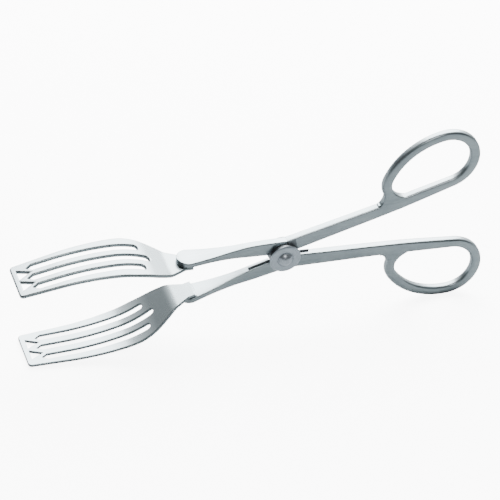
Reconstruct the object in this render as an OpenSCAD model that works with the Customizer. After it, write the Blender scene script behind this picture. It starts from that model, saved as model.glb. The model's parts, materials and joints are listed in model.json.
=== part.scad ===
// Scissor-action serving tongs in stainless steel, held open by a torsion spring.
// Each module draws one piece in the plane of the pair: X runs to the finger loops,
// Y across the bars, Z along the rivet to its domed head, with the rivet at the origin.
// An arm is drawn as it lies when the tongs are shut, and open_half turns it open.

/* [Opening] */
// Turn of each arm from shut to open, in degrees
open_half = 9.2; // [5:0.1:14]

/* [Arm bars] */
// Thickness of the flat bar, along the rivet
bar_t = 4.5; // [3:0.1:7]
// Width of the bar beside the pivot
bar_w = 8.4; // [6:0.1:11]
// Width of the bar where the finger loop begins
shank_w = 7.0; // [5:0.1:9]
// Width of the bar round the finger loop
loop_w = 5.6; // [4:0.1:8]
// Sideways step of the bar from the rivet's centre to the middle of the bar
bar_step = 5.1; // [4.2:0.1:8]
// Edge chamfer of the bar
bar_edge = 0.9; // [0.3:0.1:1.4]

/* [Finger loop] */
// Distance from the rivet to the near end of the loop opening
loop_start = 66.7; // [50:0.5:110]
// Length of the loop opening
loop_len = 46; // [38:0.5:70]
// Inner radius at the far end of the loop
loop_big_r = 14.0; // [12:0.5:20]
// Inner radius at the near end of the loop
loop_small_r = 8.5; // [6:0.5:11]
// Radius of the long outer side, to the middle of the bar
loop_side_r = 38; // [34:1:80]
// Length of the welded foot of the loop beyond its near end
foot_len = 9; // [4:0.5:14]

/* [Paddles] */
// Distance from the rivet to the end of the paddle
paddle_end = 60.5; // [45:0.5:90]
// Height of the paddle, along the rivet
paddle_h = 12.8; // [9:0.1:20]
// Thickness of the paddle
paddle_t = 3.0; // [2:0.1:4]
// Distance from the shut line to the paddle's inner face
paddle_gap = 2.5; // [1.4:0.1:4]

/* [Heads] */
// Thickness of the head's sheet
sheet_t = 1.9; // [0.8:0.1:2]
// Length of the neck that lies on the paddle
lap_len = 8.2; // [5:0.1:14]
// Length of free neck between the paddle and the bend
neck_len = 3.0; // [1:0.1:10]
// Width of the head at its neck
neck_w = 11.4; // [8:0.1:16]
// Greatest width of the head
head_w = 31.4; // [24:0.2:50]
// Width of the head at its tip
tip_w = 24.8; // [18:0.2:40]
// Turn of the bend outward, in degrees
bend_turn = 24; // [10:1:40]
// Inner radius of the bend
bend_r = 9; // [4:0.5:16]
// Length of the flat behind the bend
slope_len = 10.5; // [2:0.5:20]
// Radius of the spoon's hollow
bowl_r = 46; // [25:1:90]
// Turn of the spoon's hollow, in degrees
bowl_turn = 25; // [10:1:40]
// Radius of the gentle curve that follows the hollow
sweep_r = 140; // [80:5:300]
// Length of the flat that ends in the tip
blade_len = 22.7; // [14:0.5:50]
// Corner radius at the tip
tip_corner = 2.2; // [0.5:0.1:4]

/* [Slots] */
// Width of each slot
slot_w = 3.8; // [2:0.1:6]
// Distance between slot centres at the neck end
slot_pitch = 8.2; // [7:0.1:12]
// Distance between slot centres at the tip end
slot_pitch_tip = 7.7; // [6.5:0.1:11]
// Distance from the tip edge to the middle slot
mid_slot_end = 7.4; // [5:0.1:20]
// Distance from the tip edge to the side slots
side_slot_end = 8.4; // [5:0.1:20]
// Length of the middle slot
mid_slot_len = 65.6; // [30:0.5:80]
// Length of each side slot
side_slot_len = 60.2; // [30:0.5:80]
// Base of each triangular hole
tri_base = 6.6; // [3:0.1:8]
// Height of each triangular hole
tri_h = 6.4; // [2:0.1:8]
// Distance from the tip edge to a triangle's base
tri_edge = 2.9; // [2:0.1:6]

/* [Pivot] */
// Diameter of the round eye of each arm
eye_d = 16.0; // [14:0.1:22]
// Diameter of the rivet's shank
shank_d = 4.6; // [3.6:0.1:6]
// Diameter of the rivet's domed heads
dome_d = 8.4; // [7:0.1:12]
// Height of the domes
dome_h = 2.5; // [1.5:0.1:4]
// Diameter of the front washer
washer_d = 17.6; // [12:0.1:22]
// Diameter of the back washer
back_washer_d = 12.4; // [9:0.1:22]
// Thickness of the washers
washer_t = 0.9; // [0.5:0.1:2]

/* [Spring] */
// Diameter of the spring's wire
wire_d = 1.1; // [0.8:0.05:1.4]
// Length of the leg along the jaw side of the front arm, from the rivet
jaw_leg = 20.5; // [14:0.5:40]
// Length of the leg along the handle side of the back arm, from the rivet
handle_leg = 15; // [12:0.5:40]

/* [Fits] */
// Radial clearance of the rivet in the eyes
shank_fit = 0.05; // [0.02:0.01:0.1]
// Gap between flat faces that slide or seat on each other
face_fit = 0.05; // [0.02:0.01:0.2]
// Gap between an eye and the shoulders of the other arm
eye_fit = 0.4; // [0.2:0.05:0.8]
// Gap between the tips of the two heads when the tongs are shut
tip_gap = 0.2; // [0.1:0.05:2]
// Gap round the spring in its pocket
wire_fit = 0.1; // [0.05:0.05:0.4]
// Gap between the shoulders that stop the opening
stop_fit = 0.15; // [0.05:0.05:0.5]
// Size of the weld beads
weld_r = 0.7; // [0.4:0.1:1.2]

/* [Hidden] */
$fn = 64;
STEEL = "#8f9999";
BRIGHT = "#c9d2d6";
GUNMETAL = "#77787f";
thin = 0.02;
// Where one stretch of the bar runs into the next, it is this much smaller and starts inside it
seam = 0.06;
overlap = 1;
eye_r = eye_d / 2;

// Loop: a big circle, a small circle and one long side tangent to both, by their centrelines
big_r = loop_big_r + loop_w / 2;
small_r = loop_small_r + loop_w / 2;
shank_x = loop_start + loop_small_r;
handle_y = bar_step - 0.2;
loop_y = handle_y + shank_w / 2 - loop_w / 2 + 0.6;
big_c = [loop_start + loop_len - loop_big_r, loop_y + big_r];
small_c = [shank_x, loop_y + small_r];
centres = big_c - small_c;
centre_d = norm(centres);
big_gap = loop_side_r - big_r;
small_gap = loop_side_r - small_r;
along_c = (centre_d * centre_d + big_gap * big_gap - small_gap * small_gap) / (2 * centre_d);
below_c = sqrt(big_gap * big_gap - along_c * along_c);
unit_c = centres / centre_d;
side_c = big_c - along_c * unit_c + below_c * [unit_c[1], -unit_c[0]];
side_from = atan2(big_c[1] - side_c[1], big_c[0] - side_c[0]);
side_to = atan2(small_c[1] - side_c[1], small_c[0] - side_c[0]);

// The shoulders of the two arms meet beside the eye when the tongs are fully open
shoulder_r = eye_r + eye_fit;
shoulder_lead = 2.5;
shoulder_swing = (shoulder_r + 1) * sin(open_half) + stop_fit / 2;
handle_start = shoulder_lead + shoulder_swing;
jaw_start = shoulder_swing - shoulder_lead;

// Jaw side of the bar: [distance from the rivet, middle, width, height] of each cross-section,
// as the bar is drawn out from its root to the paddle through three stretches of equal length
jaw_y = bar_step + 0.3;
jaw_w = bar_w + 0.3;
blade_y = paddle_gap + paddle_t / 2;
paddle_c = paddle_end - paddle_h / 2;
draw_from = 0.33;
draw_step = (1 - draw_from) / 3;
jaw_sections = [
    [-jaw_start, jaw_y, jaw_w, bar_t],
    [paddle_c * draw_from, jaw_y - 0.1, bar_w * 0.9, bar_t],
    [paddle_c * (draw_from + draw_step), (jaw_y * 2 + blade_y) / 3, bar_w * 0.63, bar_t * 1.28],
    [paddle_c * (1 - draw_step), (jaw_y + blade_y * 2) / 3, (bar_w * 0.45 + paddle_t) / 2, paddle_h * 0.7],
    [paddle_c, blade_y, paddle_t, paddle_h]
];

// Head: from the neck to the tip, and the gentle curve turns just enough for the tips to meet
neck_x = paddle_end - lap_len;
neck_y = face_fit - paddle_gap + sheet_t;
slope_turn = -bend_turn;
bowl_end = slope_turn + bowl_turn;
bend_end = [lap_len + neck_len, 0] + bend_r * [sin(bend_turn), cos(bend_turn) - 1];
slope_end = bend_end + slope_len * [cos(slope_turn), sin(slope_turn)];
bowl_c = slope_end + bowl_r * [-sin(slope_turn), cos(slope_turn)];
bowl_p = bowl_c + bowl_r * [sin(bowl_end), -cos(bowl_end)];
tip_rise = -tip_gap / 2 - neck_y - bowl_p[1] - sweep_r * cos(bowl_end);
tip_turn = atan2(sweep_r, blade_len) + asin(tip_rise / norm([sweep_r, blade_len]));
sweep_c = bowl_p + sweep_r * [-sin(bowl_end), cos(bowl_end)];
sweep_p = sweep_c + sweep_r * [sin(tip_turn), -cos(tip_turn)];
tip_p = sweep_p + blade_len * [cos(tip_turn), sin(tip_turn)];
tip_x = neck_x + tip_p[0];
tip_edge = [-tip_x - sheet_t * sin(tip_turn), neck_y + tip_p[1] - sheet_t * cos(tip_turn)];
flare_from = lap_len * 0.5;
flare_to = lap_len + neck_len + bend_r * sin(bend_turn) + slope_len + 12;

// Stack on the rivet, upward from the plane where the two eyes meet
eye_top = face_fit + bar_t;
washer_from = eye_top + face_fit;
washer_top = washer_from + washer_t;
dome_from = washer_top + face_fit;
dome_r = (dome_d * dome_d / 4 + dome_h * dome_h) / (2 * dome_h);

// Spring: one ring of the coil in each eye, and a leg that follows each arm's inner edge
coil_r = shank_d / 2 + 2 * wire_fit + wire_d / 2 + 0.2;
wire_z = face_fit + wire_d / 2;
pocket_r = coil_r + wire_d / 2 + wire_fit;
pocket_top = face_fit + wire_d + wire_fit;
leg_bend = eye_r + 1.2;
leg_off = wire_d / 2 + face_fit;
jaw_drop = jaw_sections[1][1] - jaw_sections[1][2] / 2 - jaw_y + jaw_w / 2;
function jaw_edge(x) = jaw_w / 2 - jaw_y - jaw_drop * (x + jaw_start) / (jaw_sections[1][0] + jaw_start);
function handle_half(x) = bar_w / 2
    - (bar_w - shank_w) / 2 * (x - handle_start) / (loop_start - handle_start);
function handle_edge(x) = handle_y - handle_half(x);
jaw_wire = [for (x = [leg_bend, jaw_leg]) [-x, jaw_edge(x) + leg_off]];
handle_wire = [for (x = [leg_bend, handle_leg]) [x, handle_edge(x) - leg_off]];

// The tongs stand on the tip of the front head and the side of the back loop
function spun(p, a) = [p[0] * cos(a) - p[1] * sin(a), p[0] * sin(a) + p[1] * cos(a)];
function flipped(p) = [p[0], -p[1]];
tip_open = spun(tip_edge, open_half);
side_open = spun(flipped(side_c), -open_half);
side_out = loop_side_r + loop_w / 2;
span = side_open - tip_open;
stand_tilt = asin(side_out / norm(span)) - atan2(span[1], span[0]);
pivot_z = -spun(tip_open, stand_tilt)[1];
back_tip = spun(flipped(tip_edge), -open_half);
far_left = spun(back_tip, stand_tilt)[0];
far_right = spun(spun(flipped(big_c), -open_half), stand_tilt)[0] + big_r + loop_w / 2;
pivot_x = -(far_left + far_right) / 2;

module standing() {
    translate([pivot_x, 0, pivot_z]) rotate([0, -stand_tilt, 0]) rotate([90, 0, 0]) children();
}

module front_side() {
    standing() rotate(open_half) children();
}

module back_side() {
    standing() rotate([180, 0, 0]) rotate(open_half) children();
}

// Cross-section of the bar with broken edges
module bar_section(w, h) {
    c = min(bar_edge, w / 4, h / 4);
    polygon([
        [c - w / 2, -h / 2], [w / 2 - c, -h / 2], [w / 2, c - h / 2], [w / 2, h / 2 - c],
        [w / 2 - c, h / 2], [c - w / 2, h / 2], [-w / 2, h / 2 - c], [-w / 2, c - h / 2]
    ]);
}

module slab(x, y, w, h) {
    translate([x, y, 0]) rotate([90, 0, 90]) linear_extrude(thin) bar_section(w, h);
}

module bar_arc(centre, r, from, to, w, h) {
    translate([centre[0], centre[1], 0]) rotate(from) rotate_extrude(angle = to - from)
        translate([r, 0]) bar_section(w, h);
}

module rod(p, q, z) {
    d = q - p;
    translate([p[0], p[1], z]) rotate([0, 90, atan2(d[1], d[0])]) rotate(22.5)
        cylinder(d = wire_d, h = norm(d), $fn = 8);
}

// Tapered straight bar and the round finger loop bent from its end
module handle_side() {
    hull() {
        slab(handle_start, handle_y, bar_w, bar_t);
        slab(loop_start, handle_y, shank_w, bar_t);
    }
    hull() {
        slab(loop_start - overlap, handle_y, shank_w - seam, bar_t - seam);
        slab(big_c[0] - thin, loop_y, loop_w + seam, bar_t + seam);
    }
    bar_arc(big_c, big_r, -90 - overlap, side_from + overlap, loop_w, bar_t);
    bar_arc(side_c, loop_side_r, side_from, side_to, loop_w - seam, bar_t - seam);
    bar_arc(small_c, small_r, side_to - overlap, 270, loop_w, bar_t);
    foot();
}

// The end of the bar spreads into a foot that is welded back on the bar
foot_top = small_c - [small_r + loop_w / 2 - 0.2, 0];
foot_heel = small_c - [small_r + loop_w / 2 + foot_len * 0.12, small_r * 0.55];
foot_toe = [small_c[0] - small_r - loop_w / 2 - foot_len * 0.45, handle_y + shank_w / 2 - bar_edge];
foot_inside = small_c - small_r * [0.7, 0.7];

module foot() {
    translate([0, 0, bar_edge / 2 - bar_t / 2]) linear_extrude(bar_t - bar_edge)
        polygon([foot_top, foot_heel, foot_toe, [small_c[0], foot_toe[1]], foot_inside]);
}

module jaw_side() {
    for (i = [0:len(jaw_sections) - 2])
        hull() {
            jaw_slab(jaw_sections[i], 0);
            jaw_slab(jaw_sections[i + 1], thin);
        }
    translate([-paddle_c, paddle_t / 2 - blade_y, 0]) rotate([90, 0, 0])
        cylinder(d = paddle_h, h = paddle_t);
}

module jaw_slab(s, back) {
    slab(-s[0] - thin + back, -s[1], s[2], s[3]);
}

// Pocket for the spring's coil, and the notch where its leg leaves the eye
module spring_pocket(leg) {
    translate([0, 0, -thin]) cylinder(r = pocket_r, h = pocket_top + thin);
    start = leg_root(leg);
    d = leg - start;
    width = wire_d + 2 * wire_fit;
    translate([start[0], start[1], -thin]) rotate(atan2(d[1], d[0])) translate([0, -width / 2, 0])
        cube([norm(d) + wire_d, width, pocket_top + thin]);
}

// Point where the leg leaves the coil, on the side of the edge that it presses
function leg_root(leg) =
    let (reach = norm(leg), lean = acos(coil_r / reach), to = atan2(leg[1], leg[0]))
    coil_r * [cos(to + lean), sin(to + lean)];

module arm(leg) {
    difference() {
        union() {
            difference() {
                union() {
                    handle_side();
                    jaw_side();
                }
                translate([0, 0, -bar_t]) cylinder(r = shoulder_r, h = bar_t + face_fit);
            }
            translate([0, 0, face_fit]) cylinder(r = eye_r, h = bar_t);
        }
        translate([0, 0, -bar_t]) cylinder(d = shank_d + 2 * shank_fit, h = 3 * bar_t);
        spring_pocket(leg);
    }
}

module front_arm() {
    color(STEEL) front_side() arm(jaw_wire[0]);
}

module back_arm() {
    color(STEEL) back_side() arm(handle_wire[0]);
}

// One face of the sheet, seen along the rivet: off is 0 inside the pair and sheet_t outside
function head_face(off) = concat(
    [[0, -off]],
    arc_points([lap_len + neck_len, -bend_r], bend_r - off, 90, 90 + slope_turn, 6),
    arc_points(bowl_c, bowl_r + off, slope_turn - 90, bowl_end - 90, 10),
    arc_points(sweep_c, sweep_r + off, bowl_end - 90, tip_turn - 90, 6),
    [tip_p + off * [sin(tip_turn), -cos(tip_turn)]]
);

function arc_points(c, r, from, to, steps) =
    [for (i = [0:steps]) let (a = from + (to - from) * i / steps) c + r * [cos(a), sin(a)]];

function reversed(list) = [for (i = [len(list) - 1:-1:0]) list[i]];

// Half width of the head along the shut line, from the neck to the tip
function flare(x) = neck_w / 2 + (head_w - neck_w) / 2
    * sin(90 * min(1, max(0, (x - flare_from) / (flare_to - flare_from))));
flare_steps = 14;

module head_outline() {
    side = [for (i = [0:flare_steps])
        let (x = flare_from + (flare_to - flare_from) * i / flare_steps) [x, flare(x)]];
    end = tip_p[0] + sheet_t;
    right = concat([[0, neck_w / 2]], side, [[end - tip_corner, tip_w / 2], [end, tip_w / 2 - tip_corner]]);
    left = [for (p = reversed(right)) flipped(p)];
    polygon(concat(right, left));
}

// A slot that is round at the neck and pointed at the tip, with its point at the origin
module slot(l) {
    point = slot_w * 0.75;
    polygon([[0, 0], [-point, slot_w / 2], [slot_w / 2 - l, slot_w / 2],
             [slot_w / 2 - l, -slot_w / 2], [-point, -slot_w / 2]]);
    translate([slot_w / 2 - l, 0]) circle(d = slot_w);
}

module head_holes() {
    end = tip_p[0];
    translate([end - mid_slot_end, 0]) slot(mid_slot_len);
    for (s = [-1, 1]) {
        lean = atan((slot_pitch - slot_pitch_tip) / side_slot_len);
        translate([end - side_slot_end, s * slot_pitch_tip]) rotate(-s * lean) slot(side_slot_len);
        translate([end - tri_edge, s * slot_pitch_tip * 0.56])
            polygon([[0, tri_base / 2], [0, -tri_base / 2], [-tri_h, 0]]);
    }
}

// Seen along the sheet: the outline and its holes are cut square to the shut line
module head() {
    translate([-neck_x, neck_y, 0]) mirror([1, 0, 0]) intersection() {
        linear_extrude(2 * head_w, center = true)
            polygon(concat(head_face(0), reversed(head_face(sheet_t))));
        translate([0, head_w, 0]) rotate([90, 0, 0]) linear_extrude(2 * head_w) difference() {
            head_outline();
            head_holes();
        }
    }
}

module front_head() {
    color(BRIGHT) front_side() head();
}

module back_head() {
    color(BRIGHT) back_side() head();
}

// Bead across the end of the neck, where it is welded on the paddle
module head_weld() {
    translate([-neck_x + face_fit, face_fit - paddle_gap, 0]) intersection() {
        cylinder(r = weld_r, h = neck_w - 2 * weld_r, center = true);
        translate([0, 0, -neck_w]) cube(2 * neck_w);
    }
}

module front_head_weld() {
    color(STEEL) front_side() head_weld();
}

module back_head_weld() {
    color(STEEL) back_side() head_weld();
}

// Bead in the corner between the loop's foot and the bar
module loop_weld() {
    top = handle_y + handle_half(foot_toe[0] - 2 * weld_r);
    slope = (foot_heel[0] - foot_toe[0]) / (foot_heel[1] - foot_toe[1]);
    corner = foot_toe[0] + (top - foot_toe[1]) * slope;
    translate([corner - face_fit - weld_r, top + face_fit, 0]) difference() {
        translate([-weld_r, 0, bar_edge - bar_t / 2]) cube([2 * weld_r, weld_r, bar_t - 2 * bar_edge]);
        translate([-weld_r, weld_r, -bar_t]) cylinder(r = weld_r, h = 2 * bar_t);
    }
}

module front_loop_weld() {
    color(STEEL) front_side() loop_weld();
}

module back_loop_weld() {
    color(STEEL) back_side() loop_weld();
}

module dome() {
    intersection() {
        translate([0, 0, dome_from + dome_h - dome_r]) sphere(r = dome_r, $fn = 48);
        translate([0, 0, dome_from]) cylinder(d = dome_d, h = dome_h);
    }
}

module pivot_rivet() {
    color(GUNMETAL) standing() {
        dome();
        rotate([180, 0, 0]) dome();
        translate([0, 0, -dome_from - thin]) cylinder(d = shank_d, h = 2 * (dome_from + thin));
    }
}

module washer(d) {
    difference() {
        translate([0, 0, washer_from]) cylinder(d = d, h = washer_t);
        cylinder(d = shank_d + 2 * shank_fit, h = 2 * washer_top);
    }
}

module front_washer() {
    color(GUNMETAL) standing() washer(washer_d);
}

module back_washer() {
    color(GUNMETAL) standing() rotate([180, 0, 0]) washer(back_washer_d);
}

// Leg of the spring, from the coil to its bend and along the arm's inner edge
module spring_leg(wire) {
    rod(leg_root(wire[0]), wire[0], wire_z);
    rod(wire[0], wire[1], wire_z);
}

// The turns lie against each other, so the coil is drawn as the tube that they form
module spring_coil() {
    coil_h = 2 * (wire_z + wire_d / 2);
    difference() {
        cylinder(r = coil_r + wire_d / 2, h = coil_h, center = true);
        cylinder(r = coil_r - wire_d / 2, h = 2 * coil_h, center = true);
    }
}

module torsion_spring() {
    color(BRIGHT) standing() {
        spring_coil();
        rotate(open_half) spring_leg(jaw_wire);
        rotate([180, 0, 0]) rotate(open_half) spring_leg(handle_wire);
    }
}

front_arm();
back_arm();
front_head();
back_head();
pivot_rivet();
front_washer();
back_washer();
torsion_spring();
front_head_weld();
back_head_weld();
front_loop_weld();
back_loop_weld();
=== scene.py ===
import json
from math import acos, asin, atan2, cos, hypot, pi, radians, sin, sqrt, tan

import bmesh
import bpy
from mathutils import Matrix, Vector


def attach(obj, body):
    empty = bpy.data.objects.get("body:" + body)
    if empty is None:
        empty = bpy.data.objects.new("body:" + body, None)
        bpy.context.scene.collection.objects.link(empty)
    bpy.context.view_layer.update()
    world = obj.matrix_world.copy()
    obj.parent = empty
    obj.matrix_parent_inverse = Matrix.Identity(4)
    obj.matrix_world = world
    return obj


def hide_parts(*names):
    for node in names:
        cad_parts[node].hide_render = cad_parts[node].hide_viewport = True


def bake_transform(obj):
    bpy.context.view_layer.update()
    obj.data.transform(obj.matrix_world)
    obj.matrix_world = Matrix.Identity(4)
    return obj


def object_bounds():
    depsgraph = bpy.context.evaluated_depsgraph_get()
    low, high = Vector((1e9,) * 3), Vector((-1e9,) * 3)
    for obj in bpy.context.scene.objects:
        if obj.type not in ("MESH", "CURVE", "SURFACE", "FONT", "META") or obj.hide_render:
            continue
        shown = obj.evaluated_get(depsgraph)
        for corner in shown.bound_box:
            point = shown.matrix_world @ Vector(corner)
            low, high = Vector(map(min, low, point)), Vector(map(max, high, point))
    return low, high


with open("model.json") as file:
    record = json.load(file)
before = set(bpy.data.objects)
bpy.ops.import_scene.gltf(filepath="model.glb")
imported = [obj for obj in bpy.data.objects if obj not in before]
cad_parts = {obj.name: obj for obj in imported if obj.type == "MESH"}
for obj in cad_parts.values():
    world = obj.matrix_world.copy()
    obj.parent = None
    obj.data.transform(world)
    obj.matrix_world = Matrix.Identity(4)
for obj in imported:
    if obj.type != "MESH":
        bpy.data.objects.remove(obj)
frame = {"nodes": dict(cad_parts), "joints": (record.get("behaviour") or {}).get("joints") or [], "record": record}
cad_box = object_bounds()

# Camera: a very long lens to the left of the front and above, a little rolled. The tongs fill its
# view from the tips of the heads to the finger loops.
joint = frame["joints"][0]
pivot = Vector(joint["pos_m"])
azimuth = radians(21.46)
elevation = radians(39.73)
roll = radians(6.1)
lens = 250
view_width = 0.270
aim_off = Vector((-0.0176, 0.0017, 0))
look = (Matrix.Rotation(-azimuth, 4, "Z") @ Matrix.Rotation(pi / 2 - elevation, 4, "X")
        @ Matrix.Rotation(roll, 4, "Z"))
aim = pivot + look @ aim_off
camera_data = bpy.data.cameras.new("camera")
camera_data.lens = lens
camera = bpy.data.objects.new("camera", camera_data)
distance = view_width * lens / camera_data.sensor_width
camera.matrix_world = Matrix.Translation(aim + look @ Vector((0, 0, distance))) @ look
bpy.context.scene.collection.objects.link(camera)
bpy.context.scene.camera = camera


# Floor: a sheet of opal acrylic lit from below. It shows white round the tongs, while the steel
# held over it mirrors only its grey face. It fills every view.
floor_half = 6
floor_drop = 0.0001


def hex_colour(text):
    """Linear colour from an sRGB hex value."""
    parts = [int(text[i:i + 2], 16) / 255 for i in (1, 3, 5)]
    return [c / 12.92 if c <= 0.04045 else ((c + 0.055) / 1.055) ** 2.4 for c in parts] + [1]


def node(tree, kind, settings=None, **sockets):
    """Adds a node; a socket's value is a number, a colour or another node's output."""
    made = tree.nodes.new(kind)
    for name, value in (settings or {}).items():
        setattr(made, name, value)
    for name, value in sockets.items():
        socket = made.inputs[name.replace("_", " ")]
        if isinstance(value, bpy.types.NodeSocket):
            tree.links.new(value, socket)
        else:
            socket.default_value = value
    return made


def new_material(name):
    material = bpy.data.materials.new(name)
    material.use_nodes = True
    material.node_tree.nodes.clear()
    return material, material.node_tree


def new_object(name, bm, material):
    mesh = bpy.data.meshes.new(name)
    bm.to_mesh(mesh)
    bm.free()
    mesh.materials.append(material)
    made = bpy.data.objects.new(name, mesh)
    bpy.context.scene.collection.objects.link(made)
    return made


def opal_acrylic():
    """Cast opal acrylic with lamps under it: an even white to the eye, a matt grey to the steel."""
    material, tree = new_material("opal_acrylic")
    seen = node(tree, "ShaderNodeLightPath").outputs["Is Camera Ray"]
    face = node(tree, "ShaderNodeBsdfDiffuse", Color=hex_colour("#a6aaac"))
    glow = node(tree, "ShaderNodeEmission", Color=hex_colour("#ffffff"), Strength=7)
    sheet = node(tree, "ShaderNodeBsdfDiffuse", Color=hex_colour("#ffffff"))
    lit = node(tree, "ShaderNodeAddShader")
    tree.links.new(glow.outputs["Emission"], lit.inputs[0])
    tree.links.new(sheet.outputs["BSDF"], lit.inputs[1])
    both = node(tree, "ShaderNodeMixShader")
    tree.links.new(seen, both.inputs[0])
    tree.links.new(face.outputs["BSDF"], both.inputs[1])
    tree.links.new(lit.outputs["Shader"], both.inputs[2])
    node(tree, "ShaderNodeOutputMaterial", Surface=both.outputs["Shader"])
    return material


bm = bmesh.new()
bmesh.ops.create_grid(bm, x_segments=1, y_segments=1, size=floor_half)
bmesh.ops.translate(bm, vec=(0, 0, cad_box[0][2] - floor_drop), verts=bm.verts)
floor = new_object("floor", bm, opal_acrylic())


# Lights: one broad soft box above and behind, a small one above the front left, and a pale room
# that is bright behind and above and falls off to grey in front.
room_bright_side = (0.34, 0.79, 0.51)


def soft_box(name, direction, away, size, power):
    data = bpy.data.lights.new(name, "AREA")
    data.shape = "SQUARE"
    data.size = size
    data.energy = power
    light = bpy.data.objects.new(name, data)
    toward = Vector(direction).normalized()
    turn = toward.to_track_quat("Z", "Y").to_matrix().to_4x4()
    light.matrix_world = Matrix.Translation(pivot + toward * away) @ turn
    bpy.context.scene.collection.objects.link(light)


def studio_room():
    room = bpy.data.worlds.new("studio_room")
    room.use_nodes = True
    tree = room.node_tree
    direction = node(tree, "ShaderNodeTexCoord").outputs["Generated"]
    toward = node(tree, "ShaderNodeVectorMath", {"operation": "DOT_PRODUCT"})
    tree.links.new(direction, toward.inputs[0])
    toward.inputs[1].default_value = room_bright_side
    bright = node(tree, "ShaderNodeMapRange", {"interpolation_type": "SMOOTHSTEP"},
                  Value=toward.outputs["Value"], From_Min=0.35, From_Max=0.95, To_Min=0.2, To_Max=3.4)
    tree.links.new(bright.outputs["Result"], tree.nodes["Background"].inputs["Strength"])
    tree.nodes["Background"].inputs["Color"].default_value = hex_colour("#f4f6f7")
    return room


soft_box("back_box", direction=(0.28, 0.75, 0.72), away=1.1, size=1.1, power=60)
soft_box("front_box", direction=(-0.1, -0.65, 0.75), away=1.3, size=0.3, power=4)
bpy.context.scene.world = studio_room()


# Arms: each is one stainless bar, hot forged and belt ground, and the back one is turned over. The
# jaw end is flattened to an upright paddle, the handle end is bent to a finger loop and welded back
# on to the bar, and a round eye stands out beside the bar for the rivet.

# An arm is drawn flat in millimetres, as it lies when the tongs are shut, with the rivet at the
# origin: X runs to the finger loops, Y across the bars and Z along the rivet.
bar_t = 4.5
bar_w = 8.4
shank_w = 7.0
loop_w = 5.6
edge_r = 0.7
loop_edge_r = 1.5
face_gap = 0.05

paddle_h = 12.8
paddle_t = 3.0
paddle_c = 54.1
paddle_gap = 2.5
paddle_y = paddle_gap + paddle_t / 2
jaw_y = 5.4
# Each row is a section of the jaw: its place along the bar, its middle, its width and its height.
jaw_sections = [
    (0.92, jaw_y, 8.7, bar_t),
    (-0.33 * paddle_c, jaw_y - 0.1, 7.6, bar_t),
    (-0.553 * paddle_c, (2 * jaw_y + paddle_y) / 3, 5.3, 5.8),
    (-0.777 * paddle_c, (jaw_y + 2 * paddle_y) / 3, 3.4, 9.0),
    (-paddle_c, paddle_y, paddle_t, paddle_h),
]

handle_start = 4.08
handle_y = 4.9
loop_start = 66.7
loop_y = 6.2
inner_big_r = 14
inner_small_r = 8.5
side_r = 38
big_c = Vector((98.7, 23, 0))
small_c = Vector((75.2, 17.5, 0))
# Each row is a section of the handle: its place along the bar, its middle and its width.
handle_sections = [
    (handle_start, handle_y, bar_w),
    (loop_start - 8, handle_y, shank_w),
    (loop_start + 12, handle_y + 0.5, 6.6),
    (big_c.x, loop_y, loop_w),
]

foot_from = radians(192)
foot_turn = radians(64)
foot_heel = Vector((60.9, 10.4, 0))
foot_toe = Vector((56.2, 7.6, 0))
foot_root = Vector((64.5, 6.2, 0))
foot_w = 14
foot_swell = 0.9
foot_thin = 0.12
root_thin = 0.2

eye_r = 8.0
eye_edge_r = 0.4
shoulder_r = 8.4
shoulder_cut = 8
eye_shade_slack = 0.08
eye_shade_margin = 0.3
shank_r = 2.3

loops = {m["name"]: Vector(m["pos_m"]) - pivot for m in frame["record"]["mounts"]}
front_loop_at = loops["front_finger_loop"]
back_loop_at = loops["back_finger_loop"]
stand_tilt = (atan2(front_loop_at.z, front_loop_at.x) + atan2(back_loop_at.z, back_loop_at.x)) / 2
open_half = radians(joint["range_deg"][1] / 2)
standing = (Matrix.Translation(pivot) @ Matrix.Rotation(-stand_tilt, 4, "Y")
            @ Matrix.Rotation(pi / 2, 4, "X") @ Matrix.Scale(0.001, 4))
turned_over = Matrix.Rotation(pi, 4, "X")
front_side = standing @ Matrix.Rotation(open_half, 4, "Z")
back_side = standing @ turned_over @ Matrix.Rotation(open_half, 4, "Z")
sides = (("front", front_side), ("back", back_side))


def section(bm, at, heading, width, height, edge):
    """A ring of edges with round corners, across a bar that runs along heading."""
    r = min(edge, 0.48 * width, 0.48 * height)
    ring = bmesh.ops.create_circle(bm, segments=20, radius=r, matrix=Matrix.Rotation(pi / 20, 4, "Z"))
    for v in ring["verts"]:
        v.co.x += (width / 2 - r) * (1 if v.co.x > 0 else -1)
        v.co.y += (height / 2 - r) * (1 if v.co.y > 0 else -1)
    upright = Matrix(((0, 0, 1, 0), (1, 0, 0, 0), (0, 1, 0, 0), (0, 0, 0, 1)))
    place = Matrix.Translation(at) @ Matrix.Rotation(heading, 4, "Z") @ upright
    bmesh.ops.transform(bm, matrix=place, verts=ring["verts"])
    return sorted({e for v in ring["verts"] for e in v.link_edges}, key=lambda e: e.index)


def join_rings(bm, rings):
    for a, b in zip(rings, rings[1:]):
        bmesh.ops.bridge_loops(bm, edges=a + b)


def cap(bm, ring):
    bmesh.ops.edgeloop_fill(bm, edges=ring)


def bend_on(bm, ring, centre, angle, steps):
    """Bends the bar on from its last ring, round a centre, and gives the new last ring."""
    verts = list({v for e in ring for v in e.verts})
    done = bmesh.ops.spin(bm, geom=verts + list(ring), cent=centre, axis=(0, 0, 1), angle=angle,
                          steps=steps)
    return [g for g in done["geom_last"] if isinstance(g, bmesh.types.BMEdge)]


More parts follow.
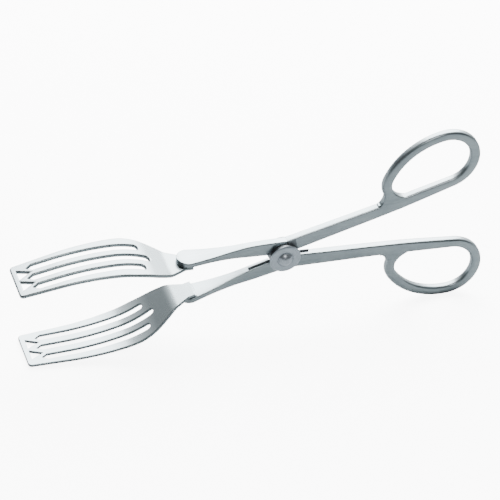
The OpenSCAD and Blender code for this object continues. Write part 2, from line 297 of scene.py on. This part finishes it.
def smooth_between(rows, steps=8):
    """Rows of numbers with others between them, on a curve that passes through them all."""
    out = []
    for i in range(len(rows) - 1):
        around = [rows[max(0, min(len(rows) - 1, i + k))] for k in (-1, 0, 1, 2)]
        for k in range(steps):
            t = k / steps
            out.append(tuple(
                0.5 * (2 * q + (r - p) * t + (2 * p - 5 * q + 4 * r - s) * t * t
                       + (3 * q - p - 3 * r + s) * t ** 3)
                for p, q, r, s in zip(*around)))
    return out + [tuple(rows[-1])]


def jaw_bar(bm):
    """From the eye to the paddle, and round the paddle's half-round end."""
    rows = smooth_between(jaw_sections)
    end_r = paddle_h / 2
    steps = 10
    for k in range(1, steps):
        reach = end_r * sin(pi / 2 * k / steps)
        rows.append((-paddle_c - reach, paddle_y, paddle_t, 2 * sqrt(end_r ** 2 - reach ** 2)))
    rings = [section(bm, (x, -y, 0), 0, w, h, edge_r) for x, y, w, h in rows]
    join_rings(bm, rings)
    cap(bm, rings[0])
    cap(bm, rings[-1])


def handle_bar(bm):
    """From the eye along the handle, round the big end, the side and the small end, to the foot."""
    rows = smooth_between(handle_sections)
    rings = [section(bm, (x, y, 0), 0, w, bar_t, edge_r + (loop_edge_r - edge_r) * k / (len(rows) - 1))
             for k, (x, y, w) in enumerate(rows)]
    join_rings(bm, rings)
    cap(bm, rings[0])
    big_r = inner_big_r + loop_w / 2
    small_r = inner_small_r + loop_w / 2
    line = big_c - small_c
    along = (line.length ** 2 + (side_r - big_r) ** 2 - (side_r - small_r) ** 2) / (2 * line.length)
    below = sqrt((side_r - big_r) ** 2 - along ** 2)
    unit = line.normalized()
    side_c = big_c - along * unit + below * Vector((unit.y, -unit.x, 0))
    side_from = atan2(big_c.y - side_c.y, big_c.x - side_c.x)
    side_to = atan2(small_c.y - side_c.y, small_c.x - side_c.x)
    ring = bend_on(bm, rings[-1], big_c, side_from + pi / 2, steps=44)
    ring = bend_on(bm, ring, side_c, side_to - side_from, steps=24)
    ring = bend_on(bm, ring, small_c, foot_from - side_to, steps=14)
    foot(bm, ring)


def foot(bm, ring):
    """The loop's end spreads on to the bar, where it is welded and ground."""
    leave = small_c + (inner_small_r + loop_w) * Vector((cos(foot_from), sin(foot_from), 0))
    rings = [ring]
    steps = 7
    for k in range(1, steps + 1):
        t = k / steps
        a = foot_from + foot_turn * t
        inner = small_c + (inner_small_r + foot_swell * t ** 3) * Vector((cos(a), sin(a), 0))
        outer = (1 - t) ** 2 * leave + 2 * t * (1 - t) * foot_heel + t * t * foot_toe
        across = inner - outer
        rings.append(section(bm, (inner + outer) / 2, atan2(across.y, across.x) - pi / 2, across.length,
                             bar_t - foot_thin * t, loop_edge_r + (edge_r - loop_edge_r) * t))
    rings.append(section(bm, foot_root, -pi / 2, foot_w, bar_t - root_thin, edge_r))
    join_rings(bm, rings)
    cap(bm, rings[-1])


def ring_of(bm, points, steps=64):
    """Turns a closed outline of (radius, height) points about the rivet's axis."""
    verts = [bm.verts.new((r, 0, z)) for r, z in points]
    edges = [bm.edges.new((a, b)) for a, b in zip(verts, verts[1:] + verts[:1])]
    bmesh.ops.spin(bm, geom=verts + edges, cent=(0, 0, 0), axis=(0, 0, 1), angle=2 * pi, steps=steps,
                   use_merge=True)


def eye_outline(steps=4):
    """The eye's hole and flat faces, with its outer edges round."""
    low, high = face_gap, face_gap + bar_t
    quarter = [pi / 2 * k / steps for k in range(steps + 1)]
    top = [(eye_r - eye_edge_r + eye_edge_r * sin(a), high - eye_edge_r + eye_edge_r * cos(a))
           for a in quarter]
    bottom = [(eye_r - eye_edge_r + eye_edge_r * cos(a), low + eye_edge_r - eye_edge_r * sin(a))
              for a in quarter]
    return [(shank_r + face_gap, low), (shank_r + face_gap, high)] + top + bottom


def tidy(bm, sharp=35):
    """Merges doubles, turns the faces outward and keeps only the hard edges hard."""
    bmesh.ops.remove_doubles(bm, verts=bm.verts, dist=0.001)
    bmesh.ops.recalc_face_normals(bm, faces=bm.faces)
    for f in bm.faces:
        f.smooth = True
    for e in bm.edges:
        e.smooth = e.smooth and len(e.link_faces) == 2 and e.calc_face_angle() < radians(sharp)


def cut_by(bar, tool):
    """The mesh of the bar less the tool."""
    plain = bpy.data.materials.new("uncut")
    body = new_object("uncut", bar, plain)
    cutter = new_object("cutter", tool, plain)
    cut = body.modifiers.new("cut", "BOOLEAN")
    cut.object = cutter
    cut.operation = "DIFFERENCE"
    cut.solver = "EXACT"
    mesh = bpy.data.meshes.new_from_object(body.evaluated_get(bpy.context.evaluated_depsgraph_get()))
    mesh.materials.clear()
    for made in (body, cutter):
        bpy.data.objects.remove(made)
    bpy.data.materials.remove(plain)
    return mesh


def ground_steel(name, turn):
    """Stainless bar, belt ground: a grey satin with soft streaks along the tongs.

    The streaks are 17 mm long and 1.1 mm apart, since the belt's own scratches are too fine to show.
    The turn gives each arm its own streaks."""
    material, tree = new_material(name)
    position = node(tree, "ShaderNodeTexCoord").outputs["Object"]
    along = node(tree, "ShaderNodeMapping", Vector=position, Rotation=(0, turn, 0), Scale=(60, 900, 900))
    grind = node(tree, "ShaderNodeTexNoise", Vector=along.outputs["Vector"], Scale=1, Detail=4,
                 Roughness=0.6)
    cloud = node(tree, "ShaderNodeTexNoise", Vector=position, Scale=45, Detail=2)
    mixed = node(tree, "ShaderNodeMath", {"operation": "ADD"})
    tree.links.new(grind.outputs["Fac"], mixed.inputs[0])
    tree.links.new(cloud.outputs["Fac"], mixed.inputs[1])
    tone = node(tree, "ShaderNodeMapRange", Value=mixed.outputs["Value"], From_Min=0.7, From_Max=1.3)
    colour = node(tree, "ShaderNodeMix", {"data_type": "RGBA"}, Factor=tone.outputs["Result"])
    colour.inputs[6].default_value = hex_colour("#828c90")
    colour.inputs[7].default_value = hex_colour("#98a1a4")
    rough = node(tree, "ShaderNodeMapRange", Value=grind.outputs["Fac"], To_Min=0.24, To_Max=0.4)
    bump = node(tree, "ShaderNodeBump", Strength=0.12, Distance=0.00005, Height=grind.outputs["Fac"])
    shader = node(tree, "ShaderNodeBsdfPrincipled", Base_Color=colour.outputs[2], Metallic=1.0,
                  Roughness=rough.outputs["Result"], Normal=bump.outputs["Normal"])
    node(tree, "ShaderNodeOutputMaterial", Surface=shader.outputs["BSDF"])
    return material


def clouded_steel(name, colour, low, high, cloud, detail):
    """Bare steel of one colour, whose roughness wanders between low and high in clouds of a size
    in millimetres: it dulls and brightens the sheen a little from place to place."""
    material, tree = new_material(name)
    position = node(tree, "ShaderNodeTexCoord").outputs["Object"]
    patches = node(tree, "ShaderNodeTexNoise", Vector=position, Scale=1000 / cloud, Detail=detail)
    rough = node(tree, "ShaderNodeMapRange", Value=patches.outputs["Fac"], To_Min=low, To_Max=high)
    shader = node(tree, "ShaderNodeBsdfPrincipled", Base_Color=hex_colour(colour), Metallic=1.0,
                  Roughness=rough.outputs["Result"])
    node(tree, "ShaderNodeOutputMaterial", Surface=shader.outputs["BSDF"])
    return material


# The side of the eye, in the gap between the bars, is darker and duller: its darker colour is painted shade.
eye_side_shade = clouded_steel("eye_side_painted_shade", "#74797c", low=0.4, high=0.6, cloud=1.25, detail=3)
ground = {"front": ground_steel("ground_stainless_front", stand_tilt + open_half),
          "back": ground_steel("ground_stainless_back", stand_tilt - open_half)}

for side, place in sides:
    arm_bm = bmesh.new()
    for draw in (jaw_bar, handle_bar):
        bar = bmesh.new()
        draw(bar)
        bmesh.ops.recalc_face_normals(bar, faces=bar.faces)
        tool = bmesh.new()
        bmesh.ops.create_cone(tool, cap_ends=True, segments=96, radius1=shoulder_r, radius2=shoulder_r,
                              depth=shoulder_cut)
        bmesh.ops.translate(tool, vec=(0, 0, face_gap - shoulder_cut / 2), verts=tool.verts)
        mesh = cut_by(bar, tool)
        arm_bm.from_mesh(mesh)
        bpy.data.meshes.remove(mesh)
    ring_of(arm_bm, eye_outline())
    # Faces on the eye's side, clear of its round edges, take the second material: painted shade, darker and
    # duller.
    for f in arm_bm.faces:
        middle = f.calc_center_median()
        beside = abs(hypot(middle.x, middle.y) - eye_r) < eye_shade_slack
        if beside and eye_shade_margin < middle.z - face_gap < bar_t - eye_shade_margin:
            f.material_index = 1
    tidy(arm_bm)
    bmesh.ops.transform(arm_bm, matrix=place, verts=arm_bm.verts)
    arm = new_object(side + "_bar", arm_bm, ground[side])
    arm.data.materials.append(eye_side_shade)
    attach(arm, side + "_half")
    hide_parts(side + "_arm")


# Heads: each is pressed from one stainless sheet. It is cut out with its slots and triangles, its
# edges are rolled, it is bent to a shallow spoon and buffed, and its neck is welded to the inner
# face of the paddle.

# A head is drawn flat from its neck's end, and then laid on the spoon's curve.
sheet_t = 1.9
inner_edge_r = 0.4
outer_edge_r = 0.8
lap_len = 8.2
neck_x = paddle_c + paddle_h / 2 - lap_len
neck_y = face_gap - paddle_gap + sheet_t
neck_run = 11.2
bend_r = 9
bend_turn = radians(24)
slope_len = 10.5
bowl_r = 46
bowl_turn = radians(25)
sweep_r = 140
blade_len = 22.7
tip_gap = 0.2
neck_w = 11.4
head_w = 31.4
tip_w = 24.8
tip_corner = 2.2
flare_from = 4.1
flare_past = 12
slot_w = 3.8
slot_point = 0.75 * slot_w
slot_pitch = 8.2
slot_pitch_tip = 7.7
mid_slot_end = 7.4
mid_slot_len = 65.6
side_slot_end = 8.4
side_slot_len = 60.2
tri_edge = 2.9
tri_base = 6.6
tri_h = 6.4
tri_middle = 0.56 * slot_pitch_tip
station = 1.25

bend_x = neck_run + bend_r * sin(bend_turn)
bend_y = bend_r * (cos(bend_turn) - 1)
slope_x = bend_x + slope_len * cos(bend_turn)
slope_y = bend_y - slope_len * sin(bend_turn)
bowl_c = (slope_x + bowl_r * sin(bend_turn), slope_y + bowl_r * cos(bend_turn))
bowl_end = bowl_turn - bend_turn
bowl_x = bowl_c[0] + bowl_r * sin(bowl_end)
bowl_y = bowl_c[1] - bowl_r * cos(bowl_end)
tip_rise = -tip_gap / 2 - neck_y - bowl_y - sweep_r * cos(bowl_end)
tip_turn = atan2(sweep_r, blade_len) + asin(tip_rise / hypot(sweep_r, blade_len))
sweep_c = (bowl_x - sweep_r * sin(bowl_end), bowl_y + sweep_r * cos(bowl_end))
sweep_x = sweep_c[0] + sweep_r * sin(tip_turn)
sweep_y = sweep_c[1] - sweep_r * cos(tip_turn)
tip_x = sweep_x + blade_len * cos(tip_turn)
flare_to = slope_x + flare_past


def on_spoon(x):
    """Height and slope of the head's inner face at a distance from the neck's end."""
    if x < neck_run:
        return 0, 0
    if x < bend_x:
        a = -asin((x - neck_run) / bend_r)
        return bend_r * (cos(a) - 1), a
    if x < slope_x:
        return bend_y - (x - bend_x) * tan(bend_turn), -bend_turn
    if x < bowl_x:
        a = asin((x - bowl_c[0]) / bowl_r)
        return bowl_c[1] - bowl_r * cos(a), a
    if x < sweep_x:
        a = asin((x - sweep_c[0]) / sweep_r)
        return sweep_c[1] - sweep_r * cos(a), a
    return sweep_y + (x - sweep_x) * tan(tip_turn), tip_turn


def flare(x):
    """Half the head's width, from the neck to its widest."""
    share = min(1, max(0, (x - flare_from) / (flare_to - flare_from)))
    return neck_w / 2 + (head_w - neck_w) / 2 * sin(pi / 2 * share)


def outline(steps=40, corner_steps=6):
    """One long side, the corner, and its mirror image."""
    flared = [(x, flare(x)) for x in (flare_to * k / steps for k in range(1, steps + 1))]
    corner = [(tip_x - tip_corner + tip_corner * sin(a), tip_w / 2 - tip_corner + tip_corner * cos(a))
              for a in (pi / 2 * k / corner_steps for k in range(corner_steps + 1))]
    half = [(0, neck_w / 2)] + flared + corner
    return half + [(x, -z) for x, z in reversed(half)]


def slot_outline(end, length, middle, lean, steps=12):
    """A slot that is round at the neck and pointed at the tip."""
    r = slot_w / 2
    points = [(0, 0), (-slot_point, r)]
    points += [(r - length - r * sin(a), r * cos(a)) for a in (pi * k / steps for k in range(steps + 1))]
    points += [(-slot_point, -r)]
    return [(tip_x - end + x * cos(lean) - z * sin(lean), middle + x * sin(lean) + z * cos(lean))
            for x, z in points]


def triangle_outline(middle):
    """A triangle with its base along the tip."""
    base_x = tip_x - tri_edge
    return [(base_x, middle + tri_base / 2), (base_x, middle - tri_base / 2), (base_x - tri_h, middle)]


def closed_line(bm, points):
    verts = [bm.verts.new((x, 0, z)) for x, z in points]
    return [bm.edges.new((a, b)) for a, b in zip(verts, verts[1:] + verts[:1])]


def head_sheet(bm):
    edges = closed_line(bm, outline())
    edges += closed_line(bm, slot_outline(mid_slot_end, mid_slot_len, 0, 0))
    lean = atan2(slot_pitch - slot_pitch_tip, side_slot_len)
    for s in (-1, 1):
        edges += closed_line(bm, slot_outline(side_slot_end, side_slot_len, s * slot_pitch_tip, -s * lean))
        edges += closed_line(bm, triangle_outline(s * tri_middle))
    bmesh.ops.triangle_fill(bm, use_beauty=True, edges=edges)
    grown = bmesh.ops.extrude_face_region(bm, geom=bm.faces[:])
    grown_verts = [g for g in grown["geom"] if isinstance(g, bmesh.types.BMVert)]
    bmesh.ops.translate(bm, vec=(0, sheet_t, 0), verts=grown_verts)
    bmesh.ops.recalc_face_normals(bm, faces=bm.faces)
    for face_at, rolled in ((0, inner_edge_r), (sheet_t, outer_edge_r)):
        rim = [e for e in bm.edges if e.calc_face_angle(0) > radians(60)
               and all(abs(v.co.y - face_at) < 0.001 for v in e.verts)]
        bmesh.ops.bevel(bm, geom=rim, offset=rolled, segments=4, profile=0.5, affect="EDGES", material=-1)
    for e in bm.edges:
        flat = [abs(f.normal.y) > 0.999 for f in e.link_faces]
        e.smooth = flat.count(True) != 1
    for k in range(1, int(tip_x / station) + 1):
        bmesh.ops.bisect_plane(bm, geom=bm.verts[:] + bm.edges[:] + bm.faces[:],
                               plane_co=(k * station, 0, 0), plane_no=(1, 0, 0))
    for v in bm.verts:
        height, slope = on_spoon(v.co.x)
        off = v.co.y
        v.co = (-(v.co.x + off * sin(slope)) - neck_x, height - off * cos(slope) + neck_y, v.co.z)


# Stainless sheet, buffed after pressing: a soft sheen that takes the room's light and dark, with a
# faint haze of wear in patches 11 mm across.
polished = clouded_steel("polished_stainless", "#868f92", low=0.2, high=0.32, cloud=11.1, detail=4)

for side, place in sides:
    bm = bmesh.new()
    head_sheet(bm)
    tidy(bm, sharp=30)
    bmesh.ops.transform(bm, matrix=place, verts=bm.verts)
    head = new_object(side + "_spoon", bm, polished)
    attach(head, side + "_half")
    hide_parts(side + "_head")


# Rivet and washers: a turned stainless rivet holds the arms together, with a dome pressed on each
# end. Under each dome is a turned washer with a sloped rim; the back one is smaller.
washer_r = {"front": 8.8, "back": 6.2}
washer_t = 0.9
washer_from = 4.6
dome_r = 4.2
dome_h = 2.5
dome_from = washer_from + washer_t + 0.05


def turned_steel(name, dark, light):
    """Steel turned on a lathe: rings about the axis catch the light one by one.

    They are 0.75 mm apart, since the tool's own marks are too fine to show."""
    material, tree = new_material(name)
    position = node(tree, "ShaderNodeTexCoord").outputs["Object"]
    centred = node(tree, "ShaderNodeMapping", Vector=position, Location=(-pivot.x, 0, -pivot.z))
    flat = node(tree, "ShaderNodeVectorMath", {"operation": "MULTIPLY"})
    tree.links.new(centred.outputs["Vector"], flat.inputs[0])
    flat.inputs[1].default_value = (1, 0, 1)
    rings = node(tree, "ShaderNodeTexWave", {"wave_type": "RINGS", "rings_direction": "SPHERICAL"},
                 Vector=flat.outputs["Vector"], Scale=420, Distortion=0.6, Detail=2)
    colour = node(tree, "ShaderNodeMix", {"data_type": "RGBA"}, Factor=rings.outputs["Fac"])
    colour.inputs[6].default_value = hex_colour(dark)
    colour.inputs[7].default_value = hex_colour(light)
    bump = node(tree, "ShaderNodeBump", Strength=0.1, Distance=0.00005, Height=rings.outputs["Fac"])
    shader = node(tree, "ShaderNodeBsdfPrincipled", Base_Color=colour.outputs[2], Metallic=1.0,
                  Roughness=0.36, Normal=bump.outputs["Normal"])
    node(tree, "ShaderNodeOutputMaterial", Surface=shader.outputs["BSDF"])
    return material


def washer_outline(r):
    """A washer with a sloped rim, a round outer edge and a shallow step under the rivet's head."""
    hole_r = shank_r + face_gap
    top = washer_from + washer_t
    step = [(hole_r, top - 0.15), (dome_r + 0.35, top - 0.15), (dome_r + 0.5, top - 0.02),
            (dome_r + 0.75, top)]
    rim = [(r - 1.35, top), (r - 1.1, top - 0.04), (r - 0.35, top - 0.36), (r - 0.1, top - 0.5),
           (r, top - 0.66)]
    underside = [(r - 0.06, washer_from + 0.06), (r - 0.2, washer_from)]
    return [(hole_r, washer_from)] + step + rim + underside


def half_rivet(bm, steps=12):
    """The rivet's shank, the flat under its head, and the dome."""
    sphere_r = (dome_r ** 2 + dome_h ** 2) / (2 * dome_h)
    half_angle = asin(dome_r / sphere_r)
    dome_points = [(sphere_r * sin(a), dome_from + dome_h - sphere_r + sphere_r * cos(a))
                   for a in (half_angle * (1 - k / steps) for k in range(steps + 1))]
    points = [(shank_r, 0), (shank_r, dome_from), (dome_r - 0.1, dome_from)] + dome_points
    verts = [bm.verts.new((r, 0, z)) for r, z in points]
    edges = [bm.edges.new(pair) for pair in zip(verts, verts[1:])]
    bmesh.ops.spin(bm, geom=verts + edges, cent=(0, 0, 0), axis=(0, 0, 1), angle=2 * pi, steps=64,
                   use_merge=True)


washer_steel = turned_steel("turned_washer_steel", "#959ea5", "#b2bac0")
rivet_steel = turned_steel("turned_rivet_steel", "#9aa1a8", "#b2b9bf")
for side, turn in (("front", Matrix.Identity(4)), ("back", turned_over)):
    bm = bmesh.new()
    ring_of(bm, washer_outline(washer_r[side]))
    tidy(bm)
    bmesh.ops.transform(bm, matrix=standing @ turn, verts=bm.verts)
    washer = new_object(side + "_disc", bm, washer_steel)
    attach(washer, "back_half")
    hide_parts(side + "_washer")

bm = bmesh.new()
half_rivet(bm)
bmesh.ops.mirror(bm, geom=bm.verts[:] + bm.edges[:] + bm.faces[:], axis="Z", merge_dist=0.001)
tidy(bm, sharp=50)
bmesh.ops.transform(bm, matrix=standing, verts=bm.verts)
rivet = new_object("rivet", bm, rivet_steel)
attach(rivet, "back_half")
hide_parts("pivot_rivet")


# Spring: one length of drawn spring wire, wound round the shank between the two eyes. A leg at
# each end lies along the inner edge of an arm and pushes the pair open.
wire_r = 0.55
coil_r = 3.25
wire_z = face_gap + wire_r
jaw_wire = [(-9.2, -0.68), (-20.5, -0.993)]
handle_wire = [(9.2, 0.157), (15.0, 0.222)]


def leg_root(leg):
    """Where a leg leaves the coil, to run straight to its first point on the arm."""
    lean = acos(coil_r / hypot(*leg))
    a = atan2(leg[1], leg[0]) + lean
    return coil_r * cos(a), coil_r * sin(a)


def wire_path(steps=48):
    """From the tip of the front leg, round the coil, to the tip of the back leg."""
    turn_front = Matrix.Rotation(open_half, 4, "Z")
    turn_back = turned_over @ turn_front
    front, back = ([turn @ Vector((x, y, wire_z)) for x, y in [leg_root(leg[0])] + leg]
                   for turn, leg in ((turn_front, jaw_wire), (turn_back, handle_wire)))
    start = atan2(front[0].y, front[0].x)
    end = atan2(back[0].y, back[0].x)
    sweep = (start - end) % (2 * pi) + 2 * pi
    coil = []
    for k in range(1, steps):
        t = k / steps
        a = start - sweep * t
        coil.append(Vector((coil_r * cos(a), coil_r * sin(a), wire_z * (1 - 2 * t))))
    return front[::-1] + coil + back


def wire(bm, path):
    rings = []
    for i, p in enumerate(path):
        ahead = path[min(i + 1, len(path) - 1)] - path[max(i - 1, 0)]
        turn = ahead.to_track_quat("Z", "Y").to_matrix().to_4x4()
        ring = bmesh.ops.create_circle(bm, segments=12, radius=wire_r, matrix=Matrix.Translation(p) @ turn)
        rings.append(list({e for v in ring["verts"] for e in v.link_edges}))
    join_rings(bm, rings)
    cap(bm, rings[0])
    cap(bm, rings[-1])


# Spring wire, drawn through a die and hardened in oil. Its dark grey is partly the wire's own colour and partly
# painted shade, so the legs show as a thin dark line along the arms; a dull and uneven sheen in patches 1.4 mm
# long.
wire_and_shade = clouded_steel("spring_wire_and_painted_shade", "#55595c", low=0.25, high=0.45, cloud=1.43, detail=2)

bm = bmesh.new()
wire(bm, wire_path())
tidy(bm, sharp=60)
bmesh.ops.transform(bm, matrix=standing, verts=bm.verts)
spring = new_object("spring", bm, wire_and_shade)
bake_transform(spring)
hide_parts("torsion_spring")


# Welds: a small bead of stainless filler across the end of each head's neck, and one in front of
# the foot of each finger loop, both dressed to the finish round them. They keep their CAD shape.
for name, shown in frame["nodes"].items():
    if name.endswith("_weld"):
        finish = polished if "head" in name else ground[name.split("_")[0]]
        for slot in shown.material_slots:
            slot.material = finish
